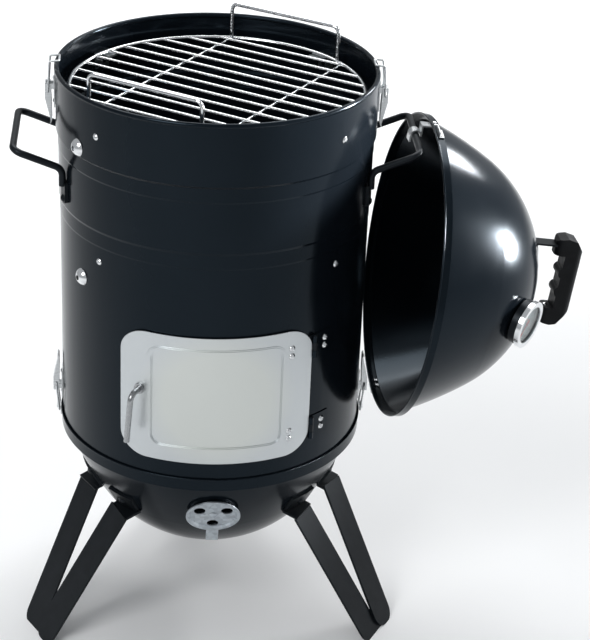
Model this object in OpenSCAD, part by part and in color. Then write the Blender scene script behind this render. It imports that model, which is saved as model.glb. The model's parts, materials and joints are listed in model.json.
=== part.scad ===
// Charcoal smoker: fire bowl on three folded legs, stepped barrel with a door, lid hung at the side.
// Millimetres, +Z up, front is -Y. The origin is on the barrel axis at ground level.

/* [Barrel] */
// outside radius of the rolled rim
rim_radius = 190; // [186:1:194]
// height from the bowl rim to the barrel rim
barrel_height = 451; // [445:1:460]
// sheet thickness of barrel, bowl, lid and door
sheet = 1.2; // [1:0.1:1.4]
// radius of the rolled edge of the rim
roll_radius = 3; // [2.5:0.5:3.5]
// how far the wall steps in at the upper pair of beads
upper_step = 2.8; // [2:0.2:3.2]
// how far the wall steps in at the lower pair of beads
lower_step = 1.3; // [1:0.1:1.8]
// rim to the upper bead
upper_bead_drop = 76; // [72:1:80]
// rim to the lower bead
lower_bead_drop = 158; // [156:1:162]
// distance between the two lines of a bead
bead_pitch = 19; // [16:1:22]

/* [Bowl and lid pressing] */
// clear height under the bowl
ground_clear = 87; // [84:1:95]
// radius of the crown
crown_radius = 167; // [160:1:172]
// half angle of the crown
crown_angle = 59; // [57:0.5:60]
// radius of the side in section
side_radius = 500; // [450:10:540]
// depth from the crown to the ledge
bowl_depth = 158; // [154:1:160]
// height of the bowl collar above the ledge
collar_height = 16; // [14:1:18]
// height of the lid collar
lid_collar = 10; // [9.5:0.5:12]
// gap between the barrel and the collar around it
collar_gap = 0.5; // [0.4:0.1:0.8]

/* [Legs] */
// foot to barrel axis
foot_reach = 248; // [244:1:252]
// width of the strap
leg_width = 39; // [36:1:41]
// thickness of the strap
leg_thick = 3; // [2.5:0.5:3.5]
// lean of a leg from the vertical
leg_lean = 29.7; // [28.7:0.1:30.2]
// length of an arm along its slope
leg_length = 197; // [194:1:200]
// half the distance between the two arms at the top
leg_spread = 40; // [38:1:43]
// half the distance between the two arms at the ground
foot_spread = 16; // [14:1:18]
// corner radius of the foot
foot_radius = 17; // [12:1:19]

/* [Door] */
// half the angle covered by the door
door_half = 36.3; // [35.5:0.1:37]
// height of the door
door_height = 166; // [162:1:170]
// bowl rim to the lower edge of the door
door_rise = 22; // [20:1:26]
// corner radius of the door
door_corner = 30; // [26:1:34]
// half the angle covered by the raised frame
frame_half = 26; // [25.5:0.1:26.2]
// border of the door above and below the raised frame
frame_border = 15; // [13:1:17]
// diameter of the door handle rod
door_rod = 7; // [6:0.5:8]
// length of the hanging leg of the door handle
door_grip = 63; // [55:1:70]
// hinge knuckle radius
knuckle_radius = 3; // [2.8:0.1:3.2]
// hinge pin radius
pin_radius = 1.5; // [1.4:0.1:1.6]

/* [Side handles] */
// barrel axis to the bar
bar_reach = 236; // [232:1:240]
// half the length of the bar
bar_half = 65; // [60:1:68]
// rod diameter
bar_rod = 8.4; // [8:0.2:9]
// rim to the bar
bar_drop = 84; // [80:1:88]

/* [Latches] */
// distance of the lever pivot from the barrel
latch_pivot = 8; // [7.8:0.1:8.6]
// lever pivot to bail pivot
latch_throw = 6; // [5.5:0.1:6.4]
// length of the lever below its pivot
lever_length = 42; // [38:1:44]
// bail wire diameter
bail_wire = 2.4; // [2:0.1:2.6]

/* [Lid] */
// lean of the hung lid
lid_lean = 7.5; // [7:0.5:9]
// turn of the hung lid on the bar
lid_turn = 4.5; // [3:0.5:4.5]
// lid rim to the bar, across the lid
hook_drop = 14.5; // [13.5:0.5:16]
// lid rim to the bar, along the lid axis
hook_reach = 16.5; // [15.5:0.5:18]
// diameter of the thermometer case
gauge_diameter = 56; // [52:1:60]
// length of the grip
grip_length = 114; // [108:1:120]

/* [Vents] */
// diameter of a damper disc
damper_diameter = 66; // [62:1:70]
// diameter of a vent hole
vent_hole = 14; // [12:1:15]
// holes to damper centre
vent_ring = 19; // [18:0.5:20]

/* [Grates and pan] */
// rim to the top grate
grate_drop = 27; // [24:1:30]
// radius of the grate ring
grate_radius = 173; // [170:1:175]
// wire diameter of the ring and the handles
ring_wire = 5; // [4.5:0.1:5.5]
// wire diameter of the bars
bar_wire = 4; // [3.5:0.1:4.5]
// number of bars
bar_count = 13; // [11:2:15]
// rim to the water pan rim
pan_drop = 184; // [180:1:190]
// depth of the water pan
pan_depth = 80; // [70:1:90]

/* [Clearances] */
// radial clearance of a running fit
run_gap = 0.05; // [0.03:0.01:0.08]
// radial clearance of a bolt in its hole
bolt_gap = 0.15; // [0.1:0.05:0.2]
// clear gap between moving pieces
free_gap = 0.4; // [0.35:0.05:0.5]

/* [Hidden] */
$fn = 64;

// heights
ledge_z = ground_clear + bowl_depth;
bowl_rim_z = ledge_z + collar_height;
rim_z = bowl_rim_z + barrel_height;
lid_depth = bowl_depth + lid_collar;
upper_bead_z = rim_z - upper_bead_drop;
lower_bead_z = rim_z - lower_bead_drop;
door_top = bowl_rim_z + door_rise + door_height;
door_z = door_top - door_height / 2;
bar_z = rim_z - bar_drop;
grate_z = rim_z - grate_drop;
pan_z = rim_z - pan_drop;

// barrel radii
top_radius = rim_radius - 1;
mid_radius = top_radius - upper_step;
low_radius = mid_radius - lower_step;
collar_in = low_radius + collar_gap;
collar_out = collar_in + sheet;

// section of the pressing
turn_r = crown_radius * sin(crown_angle);
turn_s = crown_radius * (1 - cos(crown_angle));
side_r = turn_r - side_radius * sin(crown_angle);
side_s = turn_s + side_radius * cos(crown_angle);
function press_radius(s) = s < turn_s ? sqrt(pow(crown_radius, 2) - pow(crown_radius - s, 2))
    : side_r + sqrt(pow(side_radius, 2) - pow(side_s - s, 2));
function side_tilt(s) = asin(s < turn_s ? (crown_radius - s) / crown_radius : (side_s - s) / side_radius);
ledge_in = min(press_radius(bowl_depth), collar_in) - sheet;
ledge_out = max(press_radius(bowl_depth), collar_out);

// angles around the barrel, measured from the front towards the right
leg_angles = [-60, 60, 180];
damper_angles = [0, -120, 120];
bracket_angles = [-47.5, 47.5, -132.5, 132.5];
eyelet_angle = -58;

// colours
enamel = [0.05, 0.055, 0.065];
satin = [0.07, 0.07, 0.08];
steel = [0.75, 0.76, 0.76];
zinc = [0.6, 0.63, 0.66];
chrome = [0.85, 0.86, 0.88];

// helpers
function unit(v) = v / norm(v);
function around(r, a, z) = [r * sin(a), -r * cos(a), z];
function bend_length(a, b, c, r) = r / tan(acos(unit(a - b) * unit(c - b)) / 2);

// child +Z points outward at angle a, child +Y points up
module radial(a, r, z) {
    rotate([0, 0, a]) translate([0, -r, z]) rotate([90, 0, 0]) children();
}

// child +Z points along the outward normal of the bowl side, s above the crown
module on_side(a, s) {
    rotate([0, 0, a])
        translate([0, -press_radius(s), ground_clear + s])
            rotate([90 + side_tilt(s), 0, 0]) children();
}

// child +Z points along the normal of the lid crown, off degrees from the lid axis towards angle a
module on_crown(a, off) {
    translate([0, 0, lid_depth - crown_radius])
        rotate([0, 0, a]) rotate([0, off, 0]) translate([0, 0, crown_radius]) children();
}

// lid coordinates: +Z out of the crown, +Y up, rim plane at zero
module hung() {
    translate([bar_reach, 0, bar_z])
        rotate([0, 0, lid_turn]) rotate([0, lid_lean, 0]) rotate([90, 0, 90])
            translate([0, hook_drop - collar_in, hook_reach]) children();
}

module stick(a, b, d) {
    v = b - a;
    translate(a) rotate([0, acos(v[2] / norm(v)), atan2(v[1], v[0])]) cylinder(d = d, h = norm(v));
}

module elbow(a, b, c, d, r) {
    u = unit(a - b);
    w = unit(c - b);
    half = acos(u * w) / 2;
    m = b + unit(u + w) * r / sin(half);
    x = unit(b + u * r / tan(half) - m);
    z = cross(x, -u);
    multmatrix([[x[0], -u[0], z[0], m[0]], [x[1], -u[1], z[1], m[1]], [x[2], -u[2], z[2], m[2]], [0, 0, 0, 1]])
        rotate_extrude(angle = 180 - 2 * half) translate([r, 0]) circle(d = d);
}

// round rod through the points p with bends of radius r, each straight lapping into its bend
lap = 0.1;
module rod(p, d, r) {
    last = len(p) - 1;
    for (i = [0:last - 1]) {
        along = unit(p[i + 1] - p[i]);
        a = i == 0 ? p[0] : p[i] + along * (bend_length(p[i - 1], p[i], p[i + 1], r) - lap);
        b = i == last - 1 ? p[last] : p[i + 1] - along * (bend_length(p[i], p[i + 1], p[i + 2], r) - lap);
        stick(a, b, d);
    }
    for (i = [1:last - 1]) elbow(p[i - 1], p[i], p[i + 1], d - lap / 2, r);
}

module rounded(w, h, r) {
    square([w - 2 * r, h], center = true);
    square([w, h - 2 * r], center = true);
    for (x = [-1, 1]) for (y = [-1, 1]) translate([x * (w / 2 - r), y * (h / 2 - r)]) circle(r = r);
}

// corner points of the same shape, with n steps in each corner
function rounded_points(w, h, r, n) = [for (q = [0:3]) for (i = [0:n])
    let (a = 90 * q + 90 * i / n, side = [q == 0 || q == 3 ? 1 : -1, q < 2 ? 1 : -1])
    [side[0] * (w / 2 - r) + r * cos(a), side[1] * (h / 2 - r) + r * sin(a)]];

module tube(r0, r1, z, h) {
    translate([0, 0, z]) difference() {
        cylinder(r = r1, h = h);
        translate([0, 0, -1]) cylinder(r = r0, h = h + 2);
    }
}

// piece of a tube between the angles a0 and a1
module sector(r0, r1, z, h, a0, a1) {
    rotate([0, 0, a0 - 90]) rotate_extrude(angle = a1 - a0) translate([r0, z]) square([r1 - r0, h]);
}

// domed screw along +Z with its head above zero, a shank of length l and a nut at the end
module screw(d, head, l, nut) {
    rise = head * 0.28;
    ball = (head * head / 4 + rise * rise) / (2 * rise);
    difference() {
        intersection() {
            translate([0, 0, rise - ball]) sphere(r = ball);
            cylinder(d = head + 1, h = rise + 1);
        }
        for (a = [0, 90]) rotate([0, 0, a])
            translate([-head * 0.3, -head * 0.06, rise * 0.55]) cube([head * 0.6, head * 0.12, rise]);
    }
    translate([0, 0, -l]) cylinder(d = d, h = l + rise * 0.3);
    translate([0, 0, -l]) cylinder(d = d * 1.8, h = nut, $fn = 6);
}

// plain round-head rivet along +Z
module rivet(d, head, l) {
    rise = head * 0.25;
    ball = (head * head / 4 + rise * rise) / (2 * rise);
    intersection() {
        translate([0, 0, rise - ball]) sphere(r = ball);
        cylinder(d = head + 1, h = rise + 1);
    }
    translate([0, 0, -l]) cylinder(d = d, h = l + rise * 0.3);
    translate([0, 0, -l]) cylinder(d = head, h = rise);
}

// solid section inside the pressing, grown by k, up to the height top
module press_fill(k, top) {
    cut = crown_radius - (crown_radius + k) * cos(crown_angle);
    intersection() {
        translate([0, crown_radius]) circle(r = crown_radius + k);
        translate([0, -k - 1]) square([2 * rim_radius, cut + k + 1]);
    }
    intersection() {
        translate([side_r, side_s]) circle(r = side_radius + k);
        translate([0, cut]) square([2 * rim_radius, top - cut]);
    }
}

module pressing(collar) {
    lip = 1.1;
    rotate_extrude() {
        difference() {
            press_fill(0, bowl_depth + sheet);
            press_fill(-sheet, bowl_depth + 2 * sheet);
        }
        translate([ledge_in, bowl_depth]) square([ledge_out - ledge_in, sheet]);
        translate([collar_in, bowl_depth]) square([sheet, collar - lip]);
        translate([collar_in + lip, bowl_depth + collar - lip]) circle(r = lip);
    }
}

// barrel
barrel_foot = ledge_z + sheet + 0.2;
eyelet_tube = 11;
eyelet_drops = [65, 228];
bracket_drops = [41, 196];
handle_bolt_z = bar_z - 59;
handle_foot_angle = asin(bar_half / (mid_radius + 0.5 + bar_rod / 2));
latch_drop = 28;
upper_latch_z = rim_z - latch_drop;
lower_latch_z = bowl_rim_z + 26;
hinge_heights = [door_top - 28, door_top - 138];
door_screw_angle = 27.6;
body_screw_angle = 43.1;
screw_pair = 10;
opening_half = door_half - 3.3;

function reversed(v) = [for (i = [len(v) - 1:-1:0]) v[i]];
function wall(k) = [
    [low_radius + k, barrel_foot],
    [low_radius + k, lower_bead_z - bead_pitch - 1],
    [low_radius + k + 0.4, lower_bead_z - bead_pitch + 1],
    [low_radius + k + 0.4, lower_bead_z - 1.5],
    [mid_radius + k, lower_bead_z + 1.5],
    [mid_radius + k, upper_bead_z - bead_pitch - 1],
    [mid_radius + k + 0.6, upper_bead_z - bead_pitch + 1],
    [mid_radius + k + 0.6, upper_bead_z - 1.5],
    [top_radius + k, upper_bead_z + 1.5],
    [top_radius + k, rim_z - roll_radius]];

// places of the screws through the barrel wall: [angle, wall radius, height]
bracket_places = [for (i = [0, 1]) for (a = bracket_angles)
    [a, i == 0 ? top_radius : low_radius, rim_z - bracket_drops[i]]];
hinge_places = [for (z = hinge_heights) for (k = [-0.5, 0.5]) [body_screw_angle, low_radius, z + k * screw_pair]];
handle_places = [for (s = [-90, 90]) for (k = [-1, 1]) [s + k * handle_foot_angle, mid_radius, handle_bolt_z]];

module barrel() color(enamel) difference() {
    rotate_extrude() {
        polygon(concat(wall(0), reversed(wall(-sheet))));
        translate([rim_radius - roll_radius, rim_z - roll_radius]) circle(r = roll_radius);
    }
    translate([0, -low_radius + 40, door_z]) rotate([90, 0, 0]) linear_extrude(80)
        polygon(rounded_points(2 * low_radius * sin(opening_half), door_height - 22, door_corner - 9, 6));
    for (p = concat(bracket_places, hinge_places))
        radial(p[0], p[1], p[2]) cylinder(d = 4 + 2 * bolt_gap, h = 30, center = true);
    for (p = handle_places)
        radial(p[0], p[1], p[2]) cylinder(d = 5 + 2 * bolt_gap, h = 30, center = true);
    for (d = eyelet_drops)
        radial(eyelet_angle, low_radius, rim_z - d) cylinder(d = eyelet_tube + 2 * bolt_gap, h = 30, center = true);
    for (a = [-90, 90]) {
        radial(a, top_radius, upper_latch_z) base_holes();
        radial(a, low_radius, lower_latch_z) mirror([0, 1, 0]) base_holes();
    }
}

// four angles inside the wall of radius r, screwed on at the height z, with a shelf from inner outward
module bracket(r, z, top, inner) {
    for (a = bracket_angles) difference() {
        union() {
            sector(r - sheet - 2.1, r - sheet - 0.1, z - 10, top - z + 10, a - 3.5, a + 3.5);
            sector(inner, r - sheet - 0.1, top - 2, 2, a - 3.5, a + 3.5);
        }
        radial(a, r, z) cylinder(d = 4 + 2 * bolt_gap, h = 30, center = true);
    }
}
module upper_brackets() color(steel)
    bracket(top_radius, rim_z - bracket_drops[0], grate_z - ring_wire / 2 - free_gap, top_radius - 24);
module lower_brackets() color(steel)
    bracket(low_radius, rim_z - bracket_drops[1], pan_z - sheet - free_gap, pan_mouth + 1);
module bracket_screws() color(chrome)
    for (p = bracket_places) radial(p[0], p[1] + 0.15, p[2]) screw(4, 8, sheet + 6, 3);

module eyelet(r, drop) radial(eyelet_angle, r + 0.2, rim_z - drop) difference() {
    union() {
        intersection() {
            translate([0, 0, 6.5 - 11.7]) sphere(r = 11.7);
            cylinder(d = 24, h = 8);
        }
        translate([0, 0, -5]) cylinder(d = eyelet_tube, h = 6);
        translate([0, 0, -5]) cylinder(d = 17, h = 5 - sheet - 1.2);
    }
    cylinder(d = 6, h = 30, center = true);
}
module upper_eyelet() color(chrome) eyelet(top_radius, eyelet_drops[0]);
module lower_eyelet() color(chrome) eyelet(low_radius, eyelet_drops[1]);

// bowl and legs
leg_top_s = leg_length * cos(leg_lean) - leg_thick / 2 - ground_clear;
leg_top_reach = foot_reach - leg_length * sin(leg_lean);
tab_rise = 14;
tab_gap = leg_top_reach - sqrt(pow(press_radius(leg_top_s), 2) - pow(leg_spread, 2));
tab_s = leg_top_s + tab_gap * tan(tab_rise);
pad_low = 17;
pad_height = 30;
pad_s = tab_s + 0.75 * pad_low;
pad_angle = asin(leg_spread / press_radius(pad_s));
damper_s = 109;

module vent_holes() {
    for (a = [-90, 30, 150]) rotate([0, 0, a]) translate([vent_ring, 0, 0])
        cylinder(d = vent_hole, h = 40, center = true);
    cylinder(d = 5 + 2 * bolt_gap, h = 40, center = true);
}

module fire_bowl() color(enamel) difference() {
    translate([0, 0, ground_clear]) pressing(collar_height);
    for (a = damper_angles) on_side(a, damper_s) vent_holes();
    for (a = leg_angles) for (k = [-1, 1])
        on_side(a + k * pad_angle, pad_s) cylinder(d = 6 + 2 * bolt_gap, h = 30, center = true);
}

arm_angle = atan((leg_spread - foot_spread) / leg_length);

// one arm of the folded strap, round at the foot
module leg_arm(side) {
    rise = foot_radius;
    translate([side * foot_spread, 0]) rotate(-side * arm_angle) {
        translate([-leg_width / 2, rise]) square([leg_width, leg_length / cos(arm_angle) - rise]);
        translate([-leg_width / 2 + rise, 0]) square([leg_width - 2 * rise, 2 * rise]);
        for (k = [-1, 1]) translate([k * (leg_width / 2 - rise), rise]) circle(r = rise);
    }
}

module leg(a) color(satin) difference() {
    rotate([0, 0, a]) {
        difference() {
            union() {
                leg_arms();
                for (k = [-1, 1]) leg_tab(k);
            }
            translate([0, 0, ground_clear + crown_radius]) sphere(r = crown_radius + leg_thick / 2);
        }
        for (k = [-1, 1]) leg_pad(k);
    }
    for (k = [-1, 1])
        on_side(a + k * pad_angle, pad_s) cylinder(d = 6 + 2 * bolt_gap, h = 60, center = true);
    translate([-400, -400, -50]) cube([800, 800, 50]);
}

// two arms, one lapping over the other at the foot
module leg_arms() translate([0, -foot_reach, -leg_thick]) rotate([90 - leg_lean, 0, 0]) {
    linear_extrude(leg_thick) {
        leg_arm(-1);
        translate([-foot_spread, 0]) square([2 * foot_spread, foot_radius]);
    }
    translate([0, 0, leg_thick]) linear_extrude(leg_thick) leg_arm(1);
}

// the strap bends in from the top of an arm and ends in the thickness of its pad
module leg_tab(k) translate([k * leg_spread, -leg_top_reach, ground_clear + leg_top_s])
    rotate([tab_rise, 0, 0]) translate([-leg_width / 2, -5, -leg_thick / 2])
        cube([leg_width, 25 + max(tab_gap, 0), leg_thick]);

// end of the strap lying on the bowl
module leg_pad(k) intersection() {
    translate([0, 0, ground_clear]) rotate_extrude() difference() {
        press_fill(leg_thick + 0.1, bowl_depth);
        press_fill(0.1, bowl_depth + 1);
    }
    on_side(k * pad_angle, pad_s) translate([-leg_width / 2, -pad_low, -20]) cube([leg_width, pad_height, 40]);
}
module leg_front_left() leg(leg_angles[0]);
module leg_front_right() leg(leg_angles[1]);
module leg_rear() leg(leg_angles[2]);
module leg_bolts() color(zinc)
    for (a = leg_angles) for (k = [-1, 1])
        on_side(a + k * pad_angle, pad_s) translate([0, 0, leg_thick + 0.25]) screw(6, 11, leg_thick + sheet + 5.5, 4);

// damper disc lying on a pressing, holes over the vent holes at rest
damper_lift = 0.8;
damper_thick = 1.5;
damper_rise = 2;

module damper() color(zinc) difference() {
    edge = damper_diameter / 2;
    union() {
        translate([0, 0, damper_lift]) rotate_extrude() polygon([[0, 0], [edge - 5, 0], [edge - 3, damper_rise],
            [edge, damper_rise], [edge, damper_rise + damper_thick], [edge - 4, damper_rise + damper_thick],
            [edge - 6, damper_thick], [0, damper_thick]]);
        translate([-7.5, -edge - 24, damper_lift + damper_rise]) cube([15, 26, damper_thick]);
    }
    for (a = [-90, 30, 150]) rotate([0, 0, a]) translate([vent_ring, 0, 0])
        cylinder(d = vent_hole, h = 40, center = true);
    cylinder(d = 5 + 2 * run_gap, h = 40, center = true);
}
module vent_rivet() translate([0, 0, damper_lift + damper_thick + free_gap])
    rivet(5, 11, damper_lift + damper_thick + free_gap + sheet + 3);
module damper_front() on_side(damper_angles[0], damper_s) damper();
module damper_left() on_side(damper_angles[1], damper_s) damper();
module damper_right() on_side(damper_angles[2], damper_s) damper();
module vent_rivets() color(zinc) for (a = damper_angles) on_side(a, damper_s) vent_rivet();

// side handles
handle_rise = 22;
handle_centre = mid_radius + 0.5 + bar_rod / 2;
handle_flat = 4;

module side_handle(s) color(satin) {
    foot = handle_centre * cos(handle_foot_angle);
    low = handle_bolt_z + 16;
    knee = bar_z - handle_rise;
    radial(s * 90, 0, 0) rod([[-bar_half, low, foot], [-bar_half, knee, foot], [-bar_half, bar_z, bar_reach],
        [bar_half, bar_z, bar_reach], [bar_half, knee, foot], [bar_half, low, foot]], bar_rod, 12);
    for (k = [-1, 1])
        radial(s * 90 + k * handle_foot_angle, mid_radius + 0.1, handle_bolt_z) difference() {
            union() {
                translate([-6.5, 0, 0]) cube([13, 20, handle_flat]);
                cylinder(d = 13, h = handle_flat);
            }
            cylinder(d = 5 + 2 * bolt_gap, h = 30, center = true);
        }
}
module left_handle() side_handle(-1);
module right_handle() side_handle(1);
module handle_bolts() color(satin)
    for (p = handle_places) radial(p[0], p[1] + handle_flat + 0.3, p[2]) screw(5, 9.5, handle_flat + sheet + 5, 3.5);

// draw latch, built around its pivot: +Z outward, +Y towards the catch
ear_x = 4.6;
ear_round = 3.2;
lever_x = ear_x + sheet + 0.8;
bail_x = lever_x + sheet + 1.5 + bail_wire / 2;

module base_holes() for (y = [-19, 9]) translate([0, y, 0]) cylinder(d = 3 + 2 * bolt_gap, h = 30, center = true);

module latch_base() color(steel) {
    difference() {
        translate([-11, -24, 0.15]) cube([22, 38, sheet]);
        base_holes();
    }
    for (y = [-19, 9]) translate([0, y, 0.15 + sheet]) rivet(3, 6, sheet + 0.15 + 3);
    for (s = [-1, 1]) translate([s * (ear_x + sheet / 2), 0, 0]) rotate([0, 90, 0])
        linear_extrude(sheet, center = true) {
            translate([-latch_pivot, 0]) circle(r = ear_round);
            translate([-latch_pivot, -ear_round]) square([latch_pivot - 0.15, 2 * ear_round]);
        }
    translate([0, 0, latch_pivot]) rotate([0, 90, 0]) {
        cylinder(r = 1.5, h = 2 * (lever_x + sheet + 0.6), center = true);
        for (s = [-1, 1]) translate([0, 0, s * (lever_x + sheet + 0.7)]) cylinder(r = 2.2, h = 0.8, center = true);
    }
}

module lever_outline() polygon([[4, latch_pivot + 3.6], [-14, latch_pivot + 3.6], [-lever_length, 5.2],
    [-lever_length, 4], [-26, 4], [-10, latch_pivot - 3.4], [4, latch_pivot - 3]]);
module lever_skin() polygon([[-ear_round, latch_pivot + 3.6], [-14, latch_pivot + 3.6], [-lever_length, 5.2],
    [-lever_length - 3, 6.4], [-lever_length - 3, 5.2], [-lever_length, 4],
    [-14, latch_pivot + 2.4], [-ear_round, latch_pivot + 2.4]]);

module lever() color(steel) rotate([90, 0, 90]) difference() {
    union() {
        for (s = [-1, 1]) translate([0, 0, s * (lever_x + sheet / 2)])
            linear_extrude(sheet, center = true) lever_outline();
        linear_extrude(2 * (lever_x + sheet), center = true) lever_skin();
    }
    translate([0, latch_pivot, 0]) cylinder(r = 1.5 + run_gap, h = 40, center = true);
    translate([-latch_throw, latch_pivot, 0]) cylinder(d = bail_wire + 2 * run_gap, h = 40, center = true);
}

// wire loop; reach is the distance to the catch, tip its height above the barrel, hook its inward bend
bail_bend = 2;
module bail(reach, tip, hook) color(steel) {
    peg = [lever_x - 0.4, -latch_throw, latch_pivot];
    first = [bail_x, -latch_throw, latch_pivot];
    far = [bail_x, reach, tip];
    inner = [bail_x, reach + 0.8, tip - hook];
    half = hook > 0 ? [peg, first, far, inner] : [peg, first, far];
    flip = [[-1, 0, 0], [0, 1, 0], [0, 0, 1]];
    rod(concat(half, [for (p = reversed(half)) flip * p]), bail_wire, bail_bend);
}

module upper_latch(s) radial(s * 90, top_radius, upper_latch_z) children();
module lower_latch(s) radial(s * 90, low_radius, lower_latch_z) mirror([0, 1, 0]) children();
upper_reach = latch_drop + 4.5;
lower_reach = 31.5;
catch_face = collar_out - low_radius;
catch_tip = catch_face + 0.15 + sheet + bail_wire / 2 + free_gap;

module base_upper_left() upper_latch(-1) latch_base();
module base_upper_right() upper_latch(1) latch_base();
module base_lower_left() lower_latch(-1) latch_base();
module base_lower_right() lower_latch(1) latch_base();
module lever_upper_left() upper_latch(-1) lever();
module lever_upper_right() upper_latch(1) lever();
module lever_lower_left() lower_latch(-1) lever();
module lever_lower_right() lower_latch(1) lever();
module bail_upper_left() upper_latch(-1) bail(upper_reach, 5.5, 11);
module bail_upper_right() upper_latch(1) bail(upper_reach, 5.5, 11);
module bail_lower_left() lower_latch(-1) bail(lower_reach, catch_tip, 0);
module bail_lower_right() lower_latch(1) bail(lower_reach, catch_tip, 0);

// plate on the bowl collar with a ledge over the bail
module bowl_catches() color(steel)
    for (s = [-1, 1]) lower_latch(s) {
        translate([-8, 28, catch_face + 0.15]) cube([16, 11, sheet]);
        translate([-8, 28, catch_face + 0.15]) cube([16, sheet, 6]);
    }

// door hinges
hinge_radius = low_radius + 0.7 + knuckle_radius;
hinge_angle = door_half + asin((knuckle_radius + free_gap) / hinge_radius);
hinge_height = 28;
hinge_middle = 10;
door_in = low_radius + 0.5 + sheet + 0.2;
door_out = door_in + sheet;

module at_hinge(z) translate(around(hinge_radius, hinge_angle, z)) children();
module knuckle(z, h) at_hinge(z) cylinder(r = knuckle_radius, h = h);
module pin_bore(z, gap) at_hinge(z - 30) cylinder(r = pin_radius + gap, h = 60);

module body_hinges() color(satin) for (z = hinge_heights) difference() {
    union() {
        difference() {
            sector(low_radius + 0.1, low_radius + 0.1 + sheet, z - hinge_height / 2, hinge_height,
                hinge_angle - 0.3, body_screw_angle + 3.6);
            knuckle_space(z - hinge_middle / 2 - free_gap, hinge_middle + 2 * free_gap);
        }
        knuckle(z - hinge_height / 2, (hinge_height - hinge_middle) / 2 - free_gap);
        knuckle(z + hinge_middle / 2 + free_gap, (hinge_height - hinge_middle) / 2 - free_gap);
    }
    pin_bore(z, bolt_gap);
    for (k = [-0.5, 0.5])
        radial(body_screw_angle, low_radius, z + k * screw_pair) cylinder(d = 4 + 2 * bolt_gap, h = 30, center = true);
}
module knuckle_space(z, h) at_hinge(z) cylinder(r = knuckle_radius + free_gap, h = h);
module hinge_pins() color(satin)
    for (z = hinge_heights) at_hinge(z - hinge_height / 2 - 0.5) {
        cylinder(r = pin_radius, h = hinge_height + 1);
        translate([0, 0, hinge_height + 0.6]) cylinder(r = pin_radius + 0.8, h = 1);
        translate([0, 0, hinge_height + 0.5]) cylinder(r = pin_radius, h = 0.5);
    }
module body_hinge_screws() color(chrome)
    for (p = hinge_places) radial(p[0], p[1] + 0.1 + sheet + 0.15, p[2]) screw(4, 8, 2 * sheet + 5, 3);

// door
door_width = 2 * door_out * sin(door_half);
frame_width = 2 * door_out * sin(frame_half);
frame_height = door_height - 2 * frame_border;
handle_angle = -28.4;
handle_z = door_z + 7;

module door_prism() translate([0, -door_out + 50, door_z]) rotate([90, 0, 0]) linear_extrude(80) children();
module frame_ring(inset, w) difference() {
    rounded(frame_width - 2 * inset, frame_height - 2 * inset, 18 - inset);
    rounded(frame_width - 2 * inset - 2 * w, frame_height - 2 * inset - 2 * w, 18 - inset - w);
}

module door_panel() color(steel) difference() {
    union() {
        intersection() {
            tube(door_in, door_out, door_top - door_height, door_height);
            door_prism() rounded(door_width, door_height, door_corner);
        }
        intersection() {
            tube(door_out - 0.4, door_out + 0.7, door_top - door_height, door_height);
            door_prism() frame_ring(0, 7);
        }
        intersection() {
            tube(door_out - 0.4, door_out + 1.3, door_top - door_height, door_height);
            door_prism() frame_ring(1.5, 4);
        }
    }
    radial(handle_angle, 0, handle_z) cylinder(d = door_rod + 2 * run_gap, h = 300);
    door_screw_holes();
}
module door_screw_holes() for (z = hinge_heights) for (k = [-0.5, 0.5])
    radial(door_screw_angle, low_radius, z + k * screw_pair) cylinder(d = 4 + 2 * bolt_gap, h = 30, center = true);

module door_hinges() color(satin) difference() {
    for (z = hinge_heights) {
        difference() {
            sector(low_radius + 0.5, low_radius + 0.5 + sheet, z - hinge_height / 2, hinge_height,
                door_screw_angle - 3.6, hinge_angle);
            knuckle_space(z - hinge_height, hinge_height - hinge_middle / 2 + free_gap);
            knuckle_space(z + hinge_middle / 2 - free_gap, hinge_height);
        }
        knuckle(z - hinge_middle / 2, hinge_middle);
    }
    for (z = hinge_heights) pin_bore(z, run_gap);
    door_screw_holes();
}
module door_hinge_screws() color(chrome)
    for (z = hinge_heights) for (k = [-0.5, 0.5])
        radial(door_screw_angle, door_out + 0.15, z + k * screw_pair) screw(4, 8, 2 * sheet + 5, 3);

// turn handle of the door: out, then down; the tongue inside hangs the same way
tongue_out = low_radius - sheet - 4;
handle_sway = 5;

module door_handle() color(steel) radial(handle_angle, 0, handle_z) {
    rotate([0, 0, -handle_sway])
        rod([[0, 0, tongue_out - 8], [0, 0, door_out + 21], [0, -door_grip, door_out + 21]], door_rod, 9);
    translate([0, 0, door_out + free_gap]) cylinder(d = 13, h = 2);
    translate([0, 0, door_in - free_gap - 2]) cylinder(d = 13, h = 2);
}
module door_tongue() color(zinc) radial(handle_angle, 0, handle_z) difference() {
    union() {
        translate([-7, -28, tongue_out - 4]) cube([14, 28, 4]);
        translate([0, 0, tongue_out - 4]) cylinder(r = 8, h = 4);
    }
    cylinder(d = door_rod + 2 * bolt_gap, h = 300);
}

// lid
gauge_turn = 185;
gauge_off = 40.75;
vent_turn = atan2(20, 95);
vent_off = 39;
hook_width = 14;
hook_in = bar_rod / 2 + 1;
hook_thick = 2;
hook_y = collar_in - hook_drop;
catch_s = 5.5;
lid_catch_face = ledge_out - collar_in + 0.3;
lid_catch_y = -0.75;
catch_angles = [9, 189];
post_y = grip_length / 2 - 9;
post_width = 18;
post_thick = 2.5;
post_bolt_y = 25;
post_sink = 10;
post_foot_z = lid_depth - crown_radius + (crown_radius + 1) * cos(asin(post_y / crown_radius));
grip_z = lid_depth + 20;
grip_depth = 35;
grip_width = 24;
grip_hollow = 13.5;
grip_hollow_end = grip_length / 2 - 21;
grip_bump_pitch = 25;

module lid_place(a) rotate([0, 0, a]) translate([0, collar_in, catch_s]) rotate([-90, 0, 0]) children();

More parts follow.
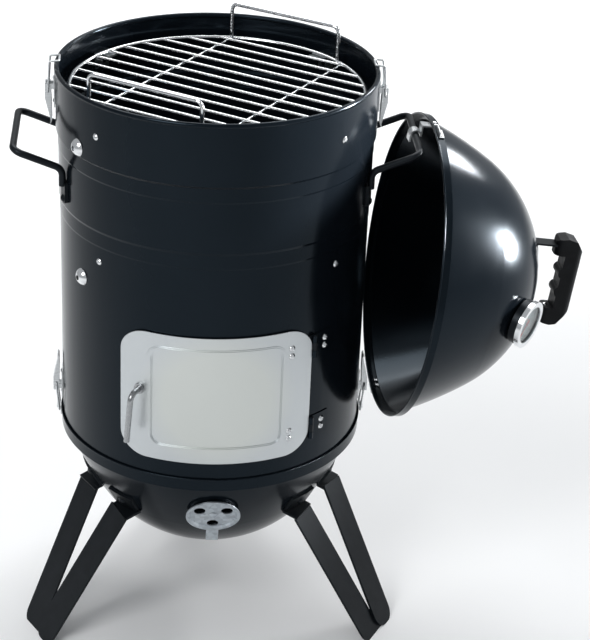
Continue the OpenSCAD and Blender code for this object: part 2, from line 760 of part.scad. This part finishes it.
module lid_shell() color(enamel) hung() difference() {
    translate([0, 0, lid_depth]) mirror([0, 0, 1]) pressing(lid_collar);
    on_crown(gauge_turn, gauge_off) cylinder(d = 6 + 2 * bolt_gap, h = 40, center = true);
    on_crown(vent_turn, vent_off) vent_holes();
    for (k = [-1, 1]) on_post(k) cylinder(d = 5 + 2 * bolt_gap, h = 40, center = true);
    for (x = [-4, 4]) translate([x, 0, 0]) lid_place(0) cylinder(d = 3 + 2 * bolt_gap, h = 30, center = true);
    for (a = catch_angles) for (x = [-5, 5]) lid_place(a) translate([x, lid_catch_y, 0])
        cylinder(d = 3 + 2 * bolt_gap, h = 30, center = true);
}

// strap riveted inside the collar, out past the rim and down around the bar
module lid_hook() color(steel) hung() difference() {
    union() {
        translate([-hook_width / 2, collar_in - 0.25 - hook_thick, -hook_reach + hook_in])
            cube([hook_width, hook_thick, hook_reach - hook_in + lid_collar - sheet - free_gap]);
        translate([-hook_width / 2, hook_y, -hook_reach + hook_in])
            cube([hook_width, hook_drop - 0.25, hook_thick]);
        translate([-hook_width / 2, hook_y - 8, -hook_reach - hook_in - hook_thick])
            cube([hook_width, 8, hook_thick]);
        translate([-hook_width / 2, hook_y, -hook_reach]) rotate([0, 90, 0]) linear_extrude(hook_width)
            intersection() {
                difference() {
                    circle(r = hook_in + hook_thick);
                    circle(r = hook_in);
                }
                translate([-20, 0]) square([40, 20]);
            }
    }
    for (x = [-4, 4]) translate([x, 0, 0]) lid_place(0) cylinder(d = 3 + 2 * bolt_gap, h = 30, center = true);
}

// small angle on the outside of the collar for a latch bail
module lid_catches() color(steel) hung() for (a = catch_angles) lid_place(a) difference() {
    translate([-9, 0, lid_catch_face]) {
        translate([0, -4, 0]) cube([18, 7, sheet]);
        translate([0, 3 - sheet, 0]) cube([18, sheet, 8]);
    }
    for (x = [-5, 5]) translate([x, lid_catch_y, 0]) cylinder(d = 3 + 2 * bolt_gap, h = 30, center = true);
}
module lid_rivets() color(chrome) hung() {
    for (x = [-4, 4]) translate([x, 0, 0]) lid_place(0) translate([0, 0, sheet + 0.15])
        rivet(3, 5, sheet + hook_thick + 2.2);
    for (a = catch_angles) for (x = [-5, 5]) lid_place(a)
        translate([x, lid_catch_y, lid_catch_face + sheet + 0.05]) rivet(3, 4.4, lid_catch_face + sheet + 2.1);
    on_crown(vent_turn, vent_off) vent_rivet();
}

// bolts through the strap and the crown
module on_post(k) on_crown(90 * k, asin(post_bolt_y / crown_radius)) children();

// strap bent along the crown, its two arms standing out into the ends of the grip
module lid_posts() color(satin) hung() difference() {
    span = asin(post_y / (crown_radius + post_thick));
    union() {
        translate([post_width / 2, 0, lid_depth - crown_radius]) rotate([0, -90, 0])
            rotate([0, 0, -span]) linear_extrude_arc(crown_radius + 0.3, post_thick, 2 * span, post_width);
        for (k = [-1, 1]) translate([-post_width / 2, k * post_y - post_thick / 2, post_foot_z])
            cube([post_width, post_thick, grip_z + post_sink - post_foot_z]);
    }
    for (k = [-1, 1]) {
        on_post(k) cylinder(d = 5 + 2 * bolt_gap, h = 40, center = true);
        grip_screw_at(k) cylinder(d = 4 + 2 * bolt_gap, h = 60, center = true);
    }
}
// flat bar of thickness t bent through the angle a on the radius r
module linear_extrude_arc(r, t, a, w) rotate_extrude(angle = a) translate([r, 0]) square([t, w]);

// screws of the grip ends in the walls of its hollow, child +Z towards the middle of the grip
module grip_screw_at(k) translate([0, k * grip_hollow_end, grip_z + post_sink - 4]) rotate([k * 90, 0, 0]) children();
module grip_screws() color(chrome) hung() for (k = [-1, 1]) {
    on_post(k) translate([0, 0, post_thick + 0.45]) screw(5, 9, post_thick + sheet + 5, 3.5);
    grip_screw_at(k) translate([0, 0, 0.15]) screw_blind(4, 7, 17);
}
module screw_blind(d, head, l) {
    rise = head * 0.28;
    ball = (head * head / 4 + rise * rise) / (2 * rise);
    intersection() {
        translate([0, 0, rise - ball]) sphere(r = ball);
        cylinder(d = head + 1, h = rise + 1);
    }
    translate([0, 0, -l]) cylinder(d = d, h = l + rise * 0.3);
}

// bowed grip: end blocks reach back over the arms, two finger bumps between them
module grip_side() {
    half = grip_length / 2;
    difference() {
        polygon([[-half, 3], [3 - half, 0], [half - 3, 0], [half, 3], [half + 2, 14], [half - 1, 26],
            [half - 14, grip_depth], [20 - half, grip_depth + 1], [-half, 22], [-half - 2, 14]]);
        translate([-grip_hollow_end, -1]) square([2 * grip_hollow_end, grip_hollow + 1]);
    }
    for (y = [-1, 1] * grip_bump_pitch / 2) translate([y, grip_hollow + 3]) circle(r = 7);
}
module lid_grip() color([0.08, 0.08, 0.085]) hung() difference() {
    intersection() {
        translate([0, 0, grip_z]) rotate([90, 0, 90]) linear_extrude(grip_width + 4, center = true) grip_side();
        translate([0, 0, grip_z + grip_depth / 2 + 0.5]) rotate([90, 0, 0])
            linear_extrude(grip_length + 20, center = true) polygon(rounded_points(grip_width, grip_depth + 1, 8, 5));
    }
    for (k = [-1, 1]) {
        translate([-post_width / 2 - 0.2, k * post_y - post_thick / 2 - 0.2, grip_z - 1])
            cube([post_width + 0.4, post_thick + 0.4, post_sink + 1.3]);
        grip_screw_at(k) translate([0, 0, -17.5]) cylinder(d = 4 + 2 * bolt_gap, h = 20);
    }
}

// thermometer
gauge_r = gauge_diameter / 2;
module gauge() hung() on_crown(gauge_turn, gauge_off) children();
module gauge_case() color(satin) gauge() difference() {
    translate([0, 0, 0.6]) cylinder(r = gauge_r, h = 13);
    translate([0, 0, 9]) cylinder(r = gauge_r - 3, h = 10);
    cylinder(d = 6 + 2 * bolt_gap, h = 60, center = true);
}
module gauge_bezel() color(chrome) gauge() difference() {
    translate([0, 0, 9.7]) cylinder(r = gauge_r + 1.8, h = 5.6);
    translate([0, 0, 9]) cylinder(r = gauge_r + 0.1, h = 4.7);
    translate([0, 0, 9]) cylinder(r = gauge_r - 4.5, h = 20);
}
module gauge_dial() color([0.8, 0.81, 0.8]) gauge() {
    translate([0, 0, 9.1]) cylinder(r = gauge_r - 3.2, h = 0.8);
    translate([0, 0, 9.1]) cylinder(r = 1, h = 2.4);
}
module gauge_glass() color([0.9, 0.93, 0.95, 0.35]) gauge()
    translate([0, 0, 12.2]) cylinder(r = gauge_r - 3.2, h = 1.2);
module gauge_stem() color(chrome) gauge() {
    translate([0, 0, -52]) cylinder(d = 6, h = 60.8);
    translate([0, 0, -sheet - 5.3]) cylinder(d = 14, h = 5, $fn = 6);
}
module gauge_needle() color([0.75, 0.1, 0.08]) gauge() rotate([0, 0, -40]) difference() {
    union() {
        translate([-0.8, -6, 10.3]) cube([1.6, gauge_r - 2, 0.5]);
        translate([0, 0, 10.3]) cylinder(r = 2.4, h = 0.7);
    }
    cylinder(r = 1 + run_gap, h = 40);
}
module lid_damper() hung() on_crown(vent_turn, vent_off) damper();

// grates
grate_turn = -33.6;
lift_half = 75;
lift_offset = half_chord(grate_radius, lift_half) - 2;
lift_height = 45;
function half_chord(r, y) = sqrt(r * r - y * y);

module wire_grate(r, n, cross_z, short = 0) {
    rotate_extrude() translate([r, 0]) circle(d = ring_wire);
    step = 2 * r / (n + 1);
    for (i = [1:n]) {
        y = -r + i * step;
        translate([0, y, 0]) rotate([0, 90, 0]) cylinder(d = bar_wire, h = 2 * half_chord(r, y), center = true);
    }
    for (x = [-1, 1] * r * 0.46) translate([x, 0, cross_z]) rotate([90, 0, 0])
        cylinder(d = bar_wire, h = 2 * (half_chord(r, x) - short), center = true);
}

module top_grate() color(chrome) translate([0, 0, grate_z]) rotate([0, 0, grate_turn]) {
    wire_grate(grate_radius, bar_count, -bar_wire + 0.5);
    for (s = [-1, 1]) {
        y = s * lift_offset;
        rod([[-lift_half, y, -1], [-lift_half, y, lift_height], [lift_half, y, lift_height], [lift_half, y, -1]],
            ring_wire, 8);
    }
}

pan_flange = low_radius - sheet - 6;
pan_mouth = pan_flange - 10;
module lower_grate() color(chrome) translate([0, 0, pan_z + free_gap + ring_wire / 2])
    wire_grate(pan_flange - 6, 11, bar_wire - 0.5);

module water_pan() color(steel) translate([0, 0, pan_z]) rotate_extrude() polygon([
    [0, -pan_depth], [pan_mouth - 26, -pan_depth], [pan_mouth, -sheet], [pan_flange, -sheet], [pan_flange, 0],
    [pan_mouth - sheet, 0], [pan_mouth - 26 - sheet, sheet - pan_depth], [0, sheet - pan_depth]]);

// fire basket on its grate
fire_ring = 108;
fire_reach = crown_radius - sheet - ring_wire / 2 - free_gap;
fire_z = ground_clear + crown_radius - half_chord(fire_reach, fire_ring);
basket_radius = 100;
basket_height = 84;
basket_z = fire_z + bar_wire / 2 + 0.2;

module charcoal_grate() color(zinc) translate([0, 0, fire_z]) wire_grate(fire_ring, 7, -bar_wire + 0.5, 11);
module charcoal_basket() color(zinc) difference() {
    tube(basket_radius, basket_radius + 1.5, basket_z, basket_height);
    for (i = [0:15]) for (j = [0:2])
        radial(22.5 * i + 11.25 * (j % 2), basket_radius, basket_z + 18 + 24 * j)
            cylinder(d = 15, h = 12, center = true);
}

barrel();
fire_bowl();
leg_front_left();
leg_front_right();
leg_rear();
leg_bolts();
upper_brackets();
lower_brackets();
bracket_screws();
upper_eyelet();
lower_eyelet();
left_handle();
right_handle();
handle_bolts();
base_upper_left();
base_upper_right();
base_lower_left();
base_lower_right();
bowl_catches();
body_hinges();
hinge_pins();
body_hinge_screws();
vent_rivets();
door_panel();
door_hinges();
door_hinge_screws();
door_handle();
door_tongue();
damper_front();
damper_left();
damper_right();
lid_shell();
lid_hook();
lid_rivets();
lid_catches();
lid_posts();
lid_grip();
grip_screws();
gauge_case();
gauge_bezel();
gauge_dial();
gauge_glass();
gauge_stem();
gauge_needle();
lid_damper();
top_grate();
lower_grate();
water_pan();
charcoal_grate();
charcoal_basket();
lever_upper_left();
lever_upper_right();
lever_lower_left();
lever_lower_right();
bail_upper_left();
bail_upper_right();
bail_lower_left();
bail_lower_right();
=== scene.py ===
"""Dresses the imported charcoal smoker: finishes, dial marks, floor, light and camera. Metres, +Z up."""
import json
import math

import bmesh
import bpy
from mathutils import Matrix, Vector


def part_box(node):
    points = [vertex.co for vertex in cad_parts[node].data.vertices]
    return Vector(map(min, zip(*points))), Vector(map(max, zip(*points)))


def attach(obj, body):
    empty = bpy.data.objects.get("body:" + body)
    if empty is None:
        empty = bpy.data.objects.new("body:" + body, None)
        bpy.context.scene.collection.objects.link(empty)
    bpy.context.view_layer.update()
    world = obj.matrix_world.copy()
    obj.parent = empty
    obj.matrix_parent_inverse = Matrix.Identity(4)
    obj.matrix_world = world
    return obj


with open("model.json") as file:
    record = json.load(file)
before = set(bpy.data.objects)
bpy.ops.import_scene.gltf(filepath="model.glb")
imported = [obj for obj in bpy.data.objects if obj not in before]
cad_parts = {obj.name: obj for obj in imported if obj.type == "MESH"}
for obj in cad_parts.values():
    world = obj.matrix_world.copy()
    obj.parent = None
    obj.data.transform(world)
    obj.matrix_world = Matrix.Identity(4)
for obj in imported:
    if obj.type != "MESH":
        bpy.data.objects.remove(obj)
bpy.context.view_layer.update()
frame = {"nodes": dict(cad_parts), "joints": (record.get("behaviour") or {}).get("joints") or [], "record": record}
nodes = frame["nodes"]
joints = {joint["name"]: joint for joint in frame["joints"]}

MM = 0.001
UP = Vector((0, 0, 1))


# finishes

class Finish:
    """A principled shader fed by textures in the piece's own coordinates."""

    def __init__(self, name, **sockets):
        self.material = bpy.data.materials.new(name)
        self.material.use_nodes = True
        tree = self.material.node_tree
        self.nodes, self.links = tree.nodes, tree.links
        self.shader = self.nodes["Principled BSDF"]
        for socket, value in sockets.items():
            self.shader.inputs[socket.replace("_", " ")].default_value = value
        self.place = self.nodes.new("ShaderNodeTexCoord").outputs["Object"]

    def stretched(self, x, y, z, centre=(0.0, 0.0, 0.0)):
        """Coordinates scaled per axis about a centre."""
        mapping = self.nodes.new("ShaderNodeMapping")
        mapping.inputs["Scale"].default_value = (x, y, z)
        mapping.inputs["Location"].default_value = (-x * centre[0], -y * centre[1], -z * centre[2])
        self.links.new(self.place, mapping.inputs["Vector"])
        return mapping.outputs["Vector"]

    def noise(self, scale, detail=3.0, at=None):
        texture = self.nodes.new("ShaderNodeTexNoise")
        texture.inputs["Scale"].default_value = scale
        texture.inputs["Detail"].default_value = detail
        self.links.new(at or self.place, texture.inputs["Vector"])
        return texture.outputs["Fac"]

    def cells(self, scale):
        texture = self.nodes.new("ShaderNodeTexVoronoi")
        texture.inputs["Scale"].default_value = scale
        self.links.new(self.place, texture.inputs["Vector"])
        return texture.outputs["Color"]

    def falloff(self, at):
        """1 at the origin of the coordinates, falling evenly to 0 at the distance 1."""
        texture = self.nodes.new("ShaderNodeTexGradient")
        texture.gradient_type = "SPHERICAL"
        self.links.new(at, texture.inputs["Vector"])
        return texture.outputs["Fac"]

    def colour(self, value, low, high, start=0.3, end=0.7):
        """Base colour from low to high while the value goes from start to end."""
        node = self.nodes.new("ShaderNodeValToRGB")
        for stop, position, shade in zip(node.color_ramp.elements, (start, end), (low, high)):
            stop.position = position
            stop.color = (*shade, 1.0)
        self.links.new(value, node.inputs["Fac"])
        self.links.new(node.outputs["Color"], self.shader.inputs["Base Color"])

    def rough(self, value, low, high, start=0.25, end=0.75):
        """Roughness from low to high while the value goes from start to end."""
        node = self.nodes.new("ShaderNodeMapRange")
        limits = {"From Min": start, "From Max": end, "To Min": low, "To Max": high}
        for socket, number in limits.items():
            node.inputs[socket].default_value = number
        self.links.new(value, node.inputs["Value"])
        self.links.new(node.outputs["Result"], self.shader.inputs["Roughness"])

    def bump(self, height, depth):
        node = self.nodes.new("ShaderNodeBump")
        node.inputs["Strength"].default_value = 1.0
        node.inputs["Distance"].default_value = depth
        self.links.new(height, node.inputs["Height"])
        self.links.new(node.outputs["Normal"], self.shader.inputs["Normal"])


def gloss_enamel():
    finish = Finish("gloss_enamel", Specular_IOR_Level=0.19, Specular_Tint=(0.58, 0.8, 1.0, 1.0))
    finish.colour(finish.noise(9.0), (0.0028, 0.0044, 0.0064), (0.0042, 0.006, 0.0084))
    finish.rough(finish.noise(14.0), 0.15, 0.21)
    finish.bump(finish.noise(260.0, 1.0), 0.02 * MM)
    return finish.material


def satin_black():
    finish = Finish("satin_black", Specular_IOR_Level=0.2, Specular_Tint=(0.8, 0.9, 1.0, 1.0))
    finish.colour(finish.noise(60.0), (0.003, 0.004, 0.005), (0.006, 0.0075, 0.0095))
    finish.rough(finish.noise(90.0), 0.30, 0.42)
    finish.bump(finish.noise(900.0, 2.0), 0.04 * MM)
    return finish.material


# how finely a brushed grain varies along X, Y and Z
LEVEL_STREAKS = (8.0, 8.0, 260.0)
FINE_GRAIN = (90.0, 90.0, 90.0)
COARSE_GRAIN = (30.0, 30.0, 30.0)


def brushed(name, dark, light, roughness, grain):
    finish = Finish(name, Metallic=1.0, Anisotropic=0.4)
    lines = finish.noise(6.0, 4.0, finish.stretched(*grain))
    finish.colour(lines, dark, light)
    finish.rough(lines, *roughness)
    finish.bump(lines, 0.012 * MM)
    return finish.material


def door_steel():
    """Brushed sheet with a painted reflection: a little lighter and warmer in the pressed middle than on the
    flange.
    """
    low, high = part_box("door_panel")
    middle = [(a + b) / 2 for a, b in zip(low, high)]
    per_half_width = 2 / (high[0] - low[0])
    finish = Finish("door_steel", Metallic=1.0, Anisotropic=0.4)
    lines = finish.noise(6.0, 4.0, finish.stretched(*LEVEL_STREAKS))
    # painted reflection: the panel's middle is coloured lighter and warmer than its flange, standing in for what
    # the steel mirrors
    painted_reflection = finish.falloff(finish.stretched(per_half_width, 0.0, per_half_width, middle))
    finish.colour(painted_reflection, (0.585, 0.615, 0.63), (0.64, 0.665, 0.64), 0.15, 0.45)
    finish.rough(lines, 0.30, 0.40)
    finish.bump(lines, 0.016 * MM)
    return finish.material


def bright_metal():
    finish = Finish("bright_metal", Metallic=1.0)
    finish.colour(finish.noise(45.0), (0.74, 0.76, 0.78), (0.88, 0.89, 0.9))
    finish.rough(finish.noise(120.0), 0.10, 0.22)
    return finish.material


def zinc():
    finish = Finish("zinc", Metallic=1.0)
    finish.colour(finish.cells(170.0), (0.40, 0.44, 0.48), (0.60, 0.65, 0.69), 0.1, 0.9)
    finish.rough(finish.noise(70.0), 0.32, 0.46)
    finish.bump(finish.noise(500.0), 0.02 * MM)
    return finish.material


def grip_black():
    finish = Finish("grip_black", Specular_IOR_Level=0.15)
    finish.colour(finish.noise(80.0), (0.003, 0.0035, 0.0045), (0.006, 0.007, 0.0085))
    finish.rough(finish.noise(140.0), 0.42, 0.58)
    finish.bump(finish.noise(1600.0, 2.0), 0.06 * MM)
    return finish.material


def painted(name, low, high, roughness):
    finish = Finish(name)
    finish.colour(finish.noise(220.0), low, high)
    finish.rough(finish.noise(300.0), *roughness)
    return finish.material


def clear_glass():
    finish = Finish("clear_glass", Transmission_Weight=1.0, IOR=1.2)
    finish.colour(finish.noise(25.0), (0.93, 0.96, 0.96), (0.98, 0.99, 0.99))
    finish.rough(finish.noise(60.0), 0.01, 0.04)
    return finish.material


def pale_floor():
    finish = Finish("pale_floor", Specular_IOR_Level=0.1)
    finish.colour(finish.noise(3.0), (0.89, 0.895, 0.90), (0.91, 0.915, 0.92))
    finish.rough(finish.noise(20.0), 0.75, 0.9)
    return finish.material


finishes = {
    "gloss_enamel": gloss_enamel(),
    "satin_black": satin_black(),
    "stainless": brushed("stainless", (0.52, 0.54, 0.55), (0.72, 0.74, 0.75), (0.24, 0.36), LEVEL_STREAKS),
    "bright_metal": bright_metal(),
    "zinc": zinc(),
    "grip_black": grip_black(),
    "dial_face": painted("dial_face", (0.17, 0.22, 0.235), (0.21, 0.265, 0.28), (0.45, 0.6)),
    "needle_red": painted("needle_red", (0.38, 0.02, 0.015), (0.5, 0.03, 0.02), (0.3, 0.45)),
    "clear_glass": clear_glass(),
}

# nodes that look unlike the rest of their slot
own_finish = {
    "door_panel": door_steel(),
    "door_handle": brushed("rod_steel", (0.34, 0.35, 0.36), (0.40, 0.41, 0.42), (0.22, 0.30), FINE_GRAIN),
    # painted shade: the lower grate's wire is coloured near-black for the shade inside the barrel
    "lower_grate": brushed("painted_shade_wire", (0.05, 0.05, 0.052), (0.12, 0.12, 0.122), (0.35, 0.5), COARSE_GRAIN),
    "body_hinges": finishes["gloss_enamel"],
}


def coat(piece, material):
    piece.data.materials.clear()
    piece.data.materials.append(material)


for part in frame["record"]["subparts"]:
    coat(nodes[part["node"]], own_finish.get(part["node"], finishes[part["material_slot"]]))


def object_from(mesh, name):
    data = bpy.data.meshes.new(name)
    mesh.to_mesh(data)
    mesh.free()
    made = bpy.data.objects.new(name, data)
    bpy.context.scene.collection.objects.link(made)
    return made


# dial marks, standing a little proud of the face

MARK_SWEEP = math.radians(270)
MARK_STEPS = 40
STEPS_PER_LONG_MARK = 5
LONG_MARK = (0.9 * MM, 4.2 * MM)
SHORT_MARK = (0.5 * MM, 2.4 * MM)
MARK_THICKNESS = 0.2 * MM
MARKS_OUTER_RADIUS = 20.5 * MM
MARKS_BELOW_PIVOT = 0.6 * MM


def gauge_frame():
    """Rest frame of the thermometer: origin at the needle's pivot, +Z out of the glass, +Y up."""
    needle = joints["gauge_needle_turn"]
    out = Vector(needle["axis"]).normalized()
    up = (UP - out * out.z).normalized()
    turn = Matrix((up.cross(out), up, out)).transposed().to_4x4()
    return Matrix.Translation(needle["pos_m"]) @ turn


def dial_marks(body, slot):
    mesh = bmesh.new()
    gauge = gauge_frame()
    for step in range(MARK_STEPS + 1):
        width, length = SHORT_MARK if step % STEPS_PER_LONG_MARK else LONG_MARK
        spoke = Matrix.Rotation(MARK_SWEEP / 2 - MARK_SWEEP * step / MARK_STEPS, 4, "Z")
        middle = Matrix.Translation((0, MARKS_OUTER_RADIUS - length / 2, -MARKS_BELOW_PIVOT))
        size = Matrix.Diagonal((width, length, MARK_THICKNESS, 1))
        bmesh.ops.create_cube(mesh, size=1.0, matrix=gauge @ spoke @ middle @ size)
    piece = object_from(mesh, "dial_marks")
    coat(piece, finishes[slot])
    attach(piece, body)


dial_marks("lid", "satin_black")


# floor, light and camera

FLOOR_HALF = 6.0
SKY_COLOUR = (0.94, 0.97, 1.0, 1.0)
SKY_STRENGTH = 0.4

# the photograph's camera, solved from the rims, the door and the feet
EYE = (-0.0860, -2.2383, 1.5252)
FORWARD = (0.0748, 0.8875, -0.4548)
ROLL = 0.0433
LENS_IN_MM = 114.2
SENSOR_IN_MM = 36.0


def floor():
    mesh = bmesh.new()
    bmesh.ops.create_grid(mesh, x_segments=1, y_segments=1, size=FLOOR_HALF)
    piece = object_from(mesh, "floor")
    coat(piece, pale_floor())


def softbox(name, place, target, size, power, spread=180.0):
    """A rectangular light that faces its target, with its power in watts and its spread in degrees."""
    light = bpy.data.lights.new(name, "AREA")
    light.shape = "RECTANGLE"
    light.size, light.size_y = size
    light.energy = power
    light.spread = math.radians(spread)
    lamp = bpy.data.objects.new(name, light)
    aim = (Vector(target) - Vector(place)).to_track_quat("-Z", "Y")
    lamp.matrix_world = Matrix.Translation(place) @ aim.to_matrix().to_4x4()
    bpy.context.scene.collection.objects.link(lamp)


def studio():
    """Soft light all round, with the right and back boxes mirrored in the lid as its two highlights."""
    world = bpy.data.worlds.new("studio")
    world.use_nodes = True
    sky = world.node_tree.nodes["Background"]
    sky.inputs["Color"].default_value = SKY_COLOUR
    sky.inputs["Strength"].default_value = SKY_STRENGTH
    bpy.context.scene.world = world
    bpy.context.scene.view_settings.view_transform = "Standard"
    softbox("key", (-1.4, -1.8, 2.2), target=(0.0, 0.0, 0.4), size=(1.2, 1.2), power=36.0)
    softbox("top", (0.3, 1.5, 2.6), target=(0.1, 0.4, 0.4), size=(2.4, 1.3), power=48.0)
    softbox("backdrop", (0.4, 2.5, 2.2), target=(0.4, 2.5, 0.0), size=(2.4, 1.4), power=20.0, spread=120.0)
    softbox("right", (2.0, 0.2, 0.84), target=(0.34, -0.1, 0.84), size=(0.3, 0.6), power=9.0, spread=30.0)
    softbox("back", (1.28, 1.02, 1.25), target=(0.271, -0.054, 0.623), size=(0.3, 0.3), power=1.0,
            spread=50.0)


def camera():
    data = bpy.data.cameras.new("camera")
    data.sensor_width = SENSOR_IN_MM
    data.lens = LENS_IN_MM
    forward = Vector(FORWARD).normalized()
    level = forward.cross(UP).normalized()
    turn = Matrix((level, level.cross(forward), -forward)).transposed().to_4x4()
    eye = bpy.data.objects.new("camera", data)
    eye.matrix_world = Matrix.Translation(EYE) @ turn @ Matrix.Rotation(ROLL, 4, "Z")
    bpy.context.scene.collection.objects.link(eye)
    bpy.context.scene.camera = eye


floor()
studio()
camera()
